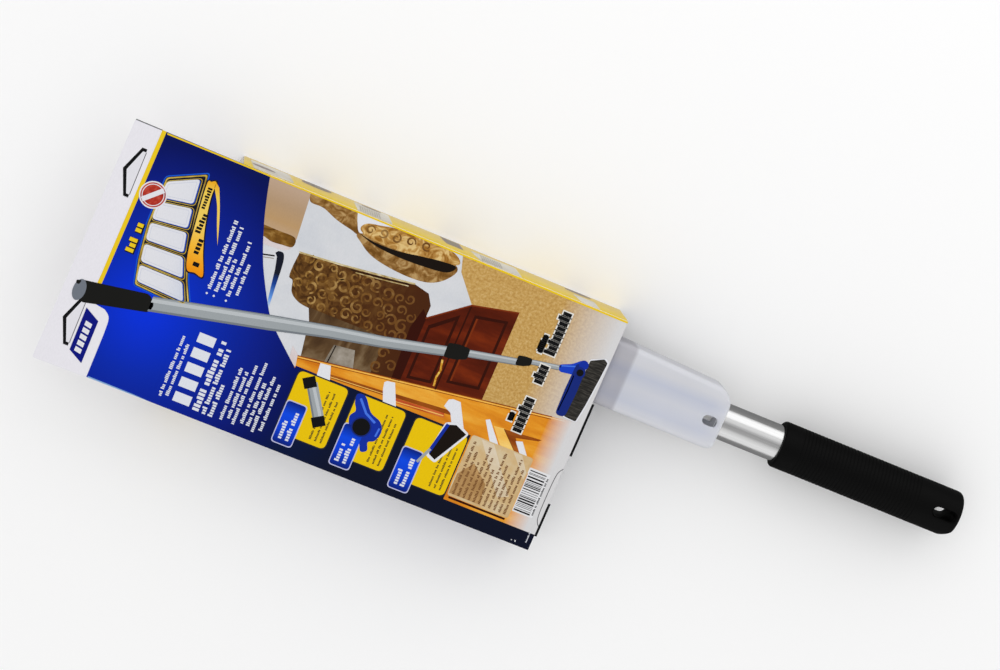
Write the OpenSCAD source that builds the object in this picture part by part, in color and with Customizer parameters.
// Boxed folding broom: a telescopic angle broom with its clip-on dustpan,
// packed in a printed hang carton that lies on its back.
// Origin: middle of the carton body's back face. +X runs to the grip, +Z up.

/* [Carton] */
// Length of the carton body along the pole
box_len = 308; // [306:1:312]
// Width of the carton body
box_w = 190; // [188:1:194]
// Depth of the carton body
box_h = 50; // [50:1:54]
// Thickness of the card
board = 0.8; // [0.6:0.1:1]
// Length of the hang header past the body, on its upper edge
header_len = 84; // [80:1:90]
// How much further the header reaches on its lower edge
header_skew = 5; // [0:1:6]

/* [Pole] */
// Outer radius of the outer tube
outer_r = 14.5; // [14:0.1:14.8]
// Wall of every tube
tube_wall = 1; // [0.8:0.1:1.1]
// Running clearance of what slides or turns on a tube
run_gap = 0.05; // [0.02:0.01:0.1]
// Outer radius of the twist collars
collar_r = 17.8; // [17.4:0.1:17.9]
// Length of a twist collar
collar_len = 45; // [43:1:46]

/* [Grip] */
// Outer radius of the grip
grip_r = 18.5; // [18:0.1:18.6]
// Where the grip starts
grip_x0 = 303.5; // [300:0.5:306]
// Length of the grip
grip_len = 153; // [150:1:155]
// Length and width of the grip's hang slot
grip_slot = [19, 8];

/* [Head] */
// Thickness of the head block
block_t = 34; // [30:1:34]
// Length of the head block
block_len = 240; // [230:1:242]
// Depth of the head block, from its back to the bristle roots
block_d = 28; // [24:1:28]
// Radius of the hub that the head turns on
hub_r = 27; // [25:1:27]
// Radius of the push button
button_r = 15; // [13:0.5:15]

/* [Dustpan] */
// Wall of the dustpan
pan_wall = 2; // [1.6:0.1:2]
// Where the handle ends
pan_end_x = 253; // [250:1:256]
// Length and width of the handle's hang slot
pan_slot = [12, 8];

/* [Hidden] */
$fn = 96;

x0 = -box_len / 2;                 // left end of the carton body
x1 = box_len / 2;                  // right end of the carton body
half_w = box_w / 2;
front_z = box_h - board;           // inner face of the front panel

pole_y = 48.7;                     // pole axis
pole_z = 24.5;
pivot_x = -101;                    // hub axis

middle_r = outer_r - tube_wall - 0.6;
inner_r = middle_r - tube_wall - 0.6;
outer_x = [62, 428];               // ends of each tube
middle_x = [8, 424];
inner_x = [-47, 398];
upper_collar_x = 30;
lower_collar_x = -18;

flap_x = -222;                     // crease of the hang flaps
flap_y = 59.2;                     // middle of each hang flap
flap_half = 17;
flap_reach = 3;                    // depth of the flap's square part
flap_tip = 9.4;                    // depth of the flap at its tip
slit = 2.2;                        // width of the die-cut slit
hinge_gap = 0.3;

hub_z = [15.5, 33.5];              // lower and upper face of the socket's hub
lug_t = 3.8;
pocket_r = 17.2;                   // pocket in the hub for the button
pocket_z = 21;
bolt_r = 4;

block_x0 = -138;
block_y = pole_y - 21.5;           // back face of the head block
bristle_x = [-131, 96];
tuft_r = 2.6;
tuft_rows = 4;
tuft_cols = 26;

pan_top = 47.6;                    // outer face of the dustpan's plate
pan_side_z = 12;                   // lower edge of the tray's walls
pan_handle_z = 20;                 // lower edge of the handle's walls

// ---------- shared shapes ----------

// A cylinder along the pole's axis from x = a to x = b
module along(a, b, r) {
    translate([a, pole_y, pole_z]) rotate([0, 90, 0]) cylinder(h = b - a, r = r);
}

// A tube along the pole's axis
module pipe(a, b, r_out, r_in) {
    difference() {
        along(a, b, r_out);
        along(a - 1, b + 1, r_in);
    }
}

// A box given by its lowest and highest corners
module block(lo, hi) {
    translate(lo) cube([hi[0] - lo[0], hi[1] - lo[1], hi[2] - lo[2]]);
}

// A slot with round ends, its length along x
module slot_2d(size) {
    square([size[0] - size[1], size[1]], center = true);
    for (s = [-1, 1]) translate([s * (size[0] - size[1]) / 2, 0]) circle(d = size[1], $fn = 48);
}

// ---------- carton ----------

// Plan of the header, from the body's end to its skewed outer edge
module header_2d(inset) {
    polygon([[x0 + 0.01, -half_w + inset], [x0 + 0.01, half_w - inset],
             [x0 - header_len + inset, half_w + 1 - inset],
             [x0 - header_len - header_skew + inset, -half_w - 1 + inset]]);
}

// Plan of a hang flap: square at the crease, pointed at its free end.
// grow widens it by the slit, back moves its crease edge.
module flap_2d(side, grow, back) {
    y = side * flap_y;
    polygon([[flap_x + back, y - flap_half - grow], [flap_x + back, y + flap_half + grow],
             [flap_x - flap_reach - grow, y + flap_half + grow],
             [flap_x - flap_tip - grow, y],
             [flap_x - flap_reach - grow, y - flap_half - grow]]);
}

module carton_sleeve() {
    color("navy") difference() {
        union() {
            difference() {
                block([x0, -half_w, 0], [x1, half_w, box_h]);
                block([x0 - 1, -half_w + board, board], [x1 + 1, half_w - board, front_z]);
            }
            translate([0, 0, front_z]) linear_extrude(board) header_2d(0);
        }
        for (s = [-1, 1])
            translate([0, 0, front_z - 1]) linear_extrude(board + 2) flap_2d(s, slit, 0);
    }
}

module header_backing() {
    color("whitesmoke") difference() {
        translate([0, 0, front_z - board]) linear_extrude(board)
            intersection() {
                header_2d(1);
                translate([x0 - 200, -half_w]) square([200 - 2, box_w]);
            }
        for (s = [-1, 1])
            translate([0, 0, front_z - 2]) linear_extrude(board + 3) flap_2d(s, slit, hinge_gap);
    }
}

// Dark card folded inside the front panel's open edge, seen as two narrow tabs
module edge_card() {
    color("black") {
        block([x1 - 20, -86, front_z - board], [x1, 30, front_z]);
        block([x1 - 0.01, -16, front_z - board], [x1 + 2, 27, front_z]);
        block([x1 - 0.01, -83, front_z - board], [x1 + 2, -56, front_z]);
    }
}

// Left end closure, hinged on the back panel's edge
module end_flap() {
    color("lightsteelblue")
        block([x0 - board, -half_w + 1, board], [x0, half_w - 1, front_z - board - 1]);
}

module hang_flap(side) {
    color("white") translate([0, 0, front_z]) linear_extrude(board) flap_2d(side, 0, 0);
}

module hang_flap_1() { hang_flap(1); }
module hang_flap_2() { hang_flap(-1); }

// ---------- pole ----------

module outer_tube() {
    color("silver") pipe(outer_x[0], outer_x[1], outer_r, outer_r - tube_wall);
}

module middle_tube() {
    color("silver") pipe(middle_x[0], middle_x[1] - 12, middle_r, middle_r - tube_wall);
}

module inner_tube() {
    color("silver") difference() {
        pipe(inner_x[0], inner_x[1] - 12, inner_r, inner_r - tube_wall);
        rivet_hole();
    }
}

// Plastic bushing on a tube's inner end: a spigot in the tube and a head that
// runs in the next tube's bore
module bushing(x_end, tube_r, bore_r) {
    color("dimgray") difference() {
        union() {
            along(x_end - 24, x_end - 12, tube_r - tube_wall - 0.01);
            along(x_end - 12, x_end, bore_r - run_gap);
        }
        along(x_end - 25, x_end + 1, tube_r - tube_wall - 2);
    }
}

module middle_bushing() { bushing(middle_x[1], middle_r, outer_r - tube_wall); }
module inner_bushing() { bushing(inner_x[1], inner_r, middle_r - tube_wall); }

// Split ring between collar and thinner tube, which the turned collar squeezes
module ferrule(a, b, wide_r, thin_r) {
    color("gainsboro") difference() {
        along(a, b, wide_r - 0.15);
        along(a - 1, b + 1, thin_r + run_gap);
        block([a - 1, pole_y - 0.75, pole_z], [b - 5, pole_y + 0.75, pole_z + 20]);
    }
}

module upper_ferrule() { ferrule(upper_collar_x + 6, outer_x[0] - 0.2, outer_r, middle_r); }
module lower_ferrule() { ferrule(lower_collar_x + 6, middle_x[0] - 0.2, middle_r, inner_r); }

// Twist collar: a ribbed sleeve over the end of the wider tube
module collar(x, wide_r, thin_r) {
    ribs = 20;
    color("black") difference() {
        union() {
            along(x + 2, x + collar_len - 2, collar_r);
            along(x, x + collar_len, collar_r - 1.2);
        }
        along(x - 1, x + 4, thin_r + 0.3);
        along(x + 3.9, x + collar_len + 1, wide_r + run_gap);
        for (i = [0 : ribs - 1])
            translate([x + 10, pole_y, pole_z]) rotate([i * 360 / ribs, 0, 0])
                translate([0, 0, collar_r + 0.3]) rotate([0, 90, 0])
                    cylinder(h = collar_len - 20, r = 1, $fn = 24);
    }
}

module upper_collar() { collar(upper_collar_x, outer_r, middle_r); }
module lower_collar() { collar(lower_collar_x, middle_r, inner_r); }

// ---------- grip ----------

// Half section of the grip: a rounded lip, fine rings and a rounded end.
// Points are [radius, distance from the grip's start].
ring_pitch = 3;
ring_from = 14;
ring_count = 34;
ring_depth = 0.4;
end_fillet = 5;
grip_section = concat(
    [[0, 4], [0, 0], [grip_r - 2.2, 0]],
    [for (a = [0 : 30 : 90]) [grip_r - 2.2 + 2.2 * sin(a), 2.2 - 2.2 * cos(a)]],
    [for (i = [0 : ring_count - 1], k = [0 : 3])
        [grip_r - (k == 1 || k == 2 ? ring_depth : 0),
         ring_from + i * ring_pitch + [0, 0.4, 1, 1.4][k]]],
    [for (a = [0 : 15 : 90])
        [grip_r - end_fillet + end_fillet * cos(a), grip_len - end_fillet + end_fillet * sin(a)]],
    [[0, grip_len]]);

module grip() {
    color("black") difference() {
        translate([grip_x0, pole_y, pole_z]) rotate([0, 90, 0]) rotate_extrude() polygon(grip_section);
        along(grip_x0 - 1, outer_x[1] + 0.5, outer_r + 0.02);
        translate([grip_x0 + grip_len - 13.5, pole_y, 0])
            linear_extrude(box_h) slot_2d(grip_slot);
        // the far edge is cut back on one side
        translate([grip_x0 + grip_len - 9, pole_y - grip_r, -1]) rotate([0, 0, 42])
            translate([0, -20, 0]) cube([40, 20, box_h]);
    }
}

// Plug that closes the outer tube inside the grip
module tube_end_plug() {
    color("dimgray") along(outer_x[1] - 3, outer_x[1], outer_r - tube_wall - 0.02);
}

// ---------- socket, hub and push button ----------

socket_r = inner_r + 3.4;
rivet_x = -35;
rivet_r = 2;

module rivet_hole() {
    translate([rivet_x, pole_y, -1]) cylinder(h = box_h, r = rivet_r + 0.01, $fn = 48);
}

module pole_socket() {
    socket_end = -20;
    neck_x = [-72, -68];           // where the flat neck and the round sleeve overlap
    color("mediumblue") difference() {
        union() {
            translate([pivot_x, pole_y, hub_z[0]]) cylinder(h = hub_z[1] - hub_z[0], r = hub_r - 0.3);
            intersection() {
                along(pivot_x + 10, socket_end, socket_r);
                union() {
                    block([pivot_x, 0, hub_z[0]], [neck_x[1], half_w, hub_z[1]]);
                    block([neck_x[0], 0, 0], [0, half_w, box_h]);
                }
            }
            along(socket_end - 6, socket_end, socket_r + 0.9);
        }
        along(inner_x[0] - 2, socket_end + 1, inner_r + 0.02);
        translate([pivot_x, pole_y, pocket_z]) cylinder(h = box_h, r = pocket_r);
        translate([pivot_x, pole_y, 0]) cylinder(h = box_h, r = bolt_r + 0.01);
        rivet_hole();
    }
}

module socket_rivet() {
    color("silver") translate([rivet_x, pole_y, pole_z - socket_r])
        cylinder(h = 2 * socket_r, r = rivet_r, $fn = 48);
}

nut_r = 7;
nut_t = 4.5;

// Bolt through the lower lug and the hub: the lug turns on its shank
module pivot_bolt() {
    head_z = [7.6, hub_z[0] - lug_t - 0.4];
    color("silver") translate([pivot_x, pole_y, head_z[0]]) {
        cylinder(h = head_z[1] - head_z[0], r = nut_r);
        cylinder(h = pocket_z + nut_t + 1.9 - head_z[0], r = bolt_r);
    }
}

module pivot_nut() {
    color("gray") translate([pivot_x, pole_y, pocket_z + 0.05]) difference() {
        cylinder(h = nut_t, r = nut_r, $fn = 6);
        translate([0, 0, -1]) cylinder(h = nut_t + 2, r = bolt_r + 0.01);
    }
}

// Coil spring under the button, as a ring of points swept up a helix
spring_r = 9.6;
wire_r = 0.7;
spring_turns = 4;
spring_z = [pocket_z + 0.8, 29.9];
turn_steps = 20;
wire_sides = 6;

function spring_point(i, k) =
    let (t = i * 360 / turn_steps, a = k * 360 / wire_sides,
         z = spring_z[0] + (spring_z[1] - spring_z[0]) * i / (turn_steps * spring_turns),
         r = spring_r + wire_r * cos(a))
    [r * cos(t), r * sin(t), z + wire_r * sin(a)];

module button_spring() {
    rings = turn_steps * spring_turns;
    points = [for (i = [0 : rings], k = [0 : wire_sides - 1]) spring_point(i, k)];
    sides = [for (i = [0 : rings - 1], k = [0 : wire_sides - 1])
        let (n = (k + 1) % wire_sides)
        [i * wire_sides + k, (i + 1) * wire_sides + k, (i + 1) * wire_sides + n, i * wire_sides + n]];
    start = [for (k = [0 : wire_sides - 1]) k];
    end = [for (k = [wire_sides - 1 : -1 : 0]) rings * wire_sides + k];
    color("silver") translate([pivot_x, pole_y, 0])
        polyhedron(points = points, faces = concat(sides, [start], [end]), convexity = 8);
}

// Button: a dished cap with a flange that the upper lug keeps in
button_z = 30.6;
button_t = 12.4;
flange_t = 2.8;

module push_button() {
    dish_r = 65;
    color("black") translate([pivot_x, pole_y, button_z]) difference() {
        union() {
            cylinder(h = flange_t, r = button_r + 1.6);
            cylinder(h = button_t - 1, r = button_r);
            cylinder(h = button_t, r = button_r - 1.2);
        }
        translate([0, 0, -1]) cylinder(h = button_t - 3.4, r = button_r - 2.6);
        translate([0, 0, button_t + dish_r - 0.8]) sphere(r = dish_r);
    }
}

// Toothed ring under the button's flange, in the hub's pocket
module lock_ring() {
    teeth = 16;
    step = 360 / teeth;
    root_r = button_r - 0.2;
    tip_r = button_r + 1.6;
    ring_t = 2.9;
    color("gray") translate([pivot_x, pole_y, button_z - 0.1 - ring_t]) linear_extrude(ring_t) difference() {
        polygon([for (i = [0 : teeth - 1], k = [0 : 3])
            let (a = (i + [0, 0.3, 0.5, 0.8][k]) * step, r = k == 1 || k == 2 ? tip_r : root_r)
            [r * cos(a), r * sin(a)]]);
        circle(r = spring_r + 1.8);
    }
}

// ---------- head ----------

// Section of the block across its length: a flat bristle face and a rounded back
module block_section() {
    back_r = 8;
    square([block_d - back_r, block_t]);
    translate([block_d - back_r - 0.01, back_r]) square([back_r, block_t - 2 * back_r]);
    for (z = [back_r, block_t - back_r]) translate([block_d - back_r, z]) circle(r = back_r);
}

module head_block() {
    root_y = block_y - block_d;
    z0 = pole_z - block_t / 2;
    end_r = 13;
    far_x = block_x0 + block_len;
    color("mediumblue") difference() {
        union() {
            intersection() {
                translate([block_x0, root_y, z0]) rotate([90, 0, 90])
                    linear_extrude(block_len) block_section();
                linear_extrude(box_h) head_plan(root_y, far_x, end_r);
            }
            for (z = [hub_z[0] - lug_t - 0.2, hub_z[1] + 0.3]) {
                translate([pivot_x, pole_y, z]) cylinder(h = lug_t, r = hub_r);
                block([pivot_x - 24, root_y + 8, z], [pivot_x + 24, pole_y - 12, z + lug_t]);
            }
        }
        translate([pivot_x, pole_y, hub_z[0] - 0.2]) cylinder(h = hub_z[1] - hub_z[0] + 0.5, r = hub_r + 0.5);
        translate([pivot_x, pole_y, 0]) cylinder(h = pole_z, r = bolt_r + run_gap);
        translate([pivot_x, pole_y, pole_z]) cylinder(h = pole_z, r = button_r + run_gap);
    }
}

// Plan of the block: its hub end and its far end are rounded
module head_plan(root_y, far_x, end_r) {
    translate([block_x0 + end_r, root_y]) square([block_len - 2 * end_r, block_d]);
    for (x = [block_x0 + end_r, far_x - end_r]) {
        translate([x, block_y - end_r]) circle(r = end_r);
        translate([x - end_r, root_y]) square([2 * end_r, block_d - end_r]);
    }
}

// Tufts in rows, held in one strip inside the block's face and trimmed on a slant
module bristles() {
    root_y = block_y - block_d;
    rows_t = block_t - 10;
    color("dimgray") union() {
        block([bristle_x[0] - 2, root_y - 3, pole_z - rows_t / 2 - 2],
              [bristle_x[1] + 2, root_y, pole_z + rows_t / 2 + 2]);
        for (i = [0 : tuft_cols - 1], j = [0 : tuft_rows - 1]) {
            u = i / (tuft_cols - 1);
            x = bristle_x[0] + tuft_r + u * (bristle_x[1] - bristle_x[0] - 2 * tuft_r);
            z = pole_z - rows_t / 2 + tuft_r + j * (rows_t - 2 * tuft_r) / (tuft_rows - 1);
            length = 79 - 28 * u;
            translate([x, root_y - 1, z]) rotate([90, 0, 0]) cylinder(h = length, r = tuft_r, $fn = 24);
        }
    }
}

// ---------- dustpan ----------

// Plan of the tray with its walls moved in by inset; the mouth is at its left end
module tray_2d(inset, mouth) {
    r = 12;
    far_low = 136;
    far_high = 150;
    y_low = -91 + inset;
    y_high = 81 - inset;
    polygon(concat([[mouth, y_low]],
        [for (a = [-90 : 15 : 0]) [far_low - inset - r + r * cos(a), y_low + r + r * sin(a)]],
        [for (a = [0 : 15 : 90]) [far_high - inset - r + r * cos(a), y_high - r + r * sin(a)]],
        [[mouth, y_high]]));
}

// Plan of the handle: it narrows a little to its end, whose corners are rounded
module handle_2d(inset) {
    r_high = 20 - inset;
    r_low = 9 - inset;
    y_high = 74.5 - inset;
    y_low = 27 + inset;
    end_x = pan_end_x - inset;
    polygon(concat([[130, 27.5 + inset]],
        [for (a = [-90 : 15 : 0]) [end_x - r_low + r_low * cos(a), y_low + r_low + r_low * sin(a)]],
        [for (a = [0 : 10 : 90]) [end_x - r_high + r_high * cos(a), y_high - r_high + r_high * sin(a)]],
        [[157, 79.4 - inset], [130, 80.4 - inset]]));
}

module dustpan() {
    mouth = -150;
    ribs = 7;
    rib_pitch = 18;
    step_x = 170;                  // the surface is lower from here to the mouth
    step_t = 0.8;
    inner_top = pan_top - pan_wall;
    color("whitesmoke") difference() {
        union() {
            translate([0, 0, pan_side_z]) linear_extrude(pan_top - pan_side_z) tray_2d(0, mouth);
            translate([0, 0, pan_handle_z]) linear_extrude(pan_top - pan_handle_z) handle_2d(0);
        }
        difference() {
            translate([0, 0, -1]) linear_extrude(inner_top + 1) tray_2d(pan_wall, mouth - 1);
            for (i = [0 : ribs - 1]) translate([-110, -74 + i * rib_pitch, inner_top - 1]) cube([228, 1.6, 2]);
        }
        translate([0, 0, -1]) linear_extrude(inner_top + 1) handle_2d(pan_wall);
        translate([pan_end_x - 10.5, pole_y - 0.3, inner_top - 1]) linear_extrude(5) slot_2d(pan_slot);
        // the end wall stands clear of the pole
        block([pan_end_x - 12, pole_y - grip_r - 0.6, -1], [pan_end_x + 5, pole_y + grip_r + 0.6, inner_top]);
        block([mouth - 50, -box_w, pan_top - step_t], [step_x, box_w, pan_top + 1]);
    }
}

// ---------- assembly ----------

carton_sleeve();
header_backing();
edge_card();
end_flap();
hang_flap_1();
hang_flap_2();
inner_tube();
inner_bushing();
pole_socket();
socket_rivet();
pivot_bolt();
pivot_nut();
button_spring();
middle_tube();
middle_bushing();
lower_ferrule();
lower_collar();
outer_tube();
upper_ferrule();
upper_collar();
grip();
tube_end_plug();
head_block();
bristles();
push_button();
lock_ring();
dustpan();
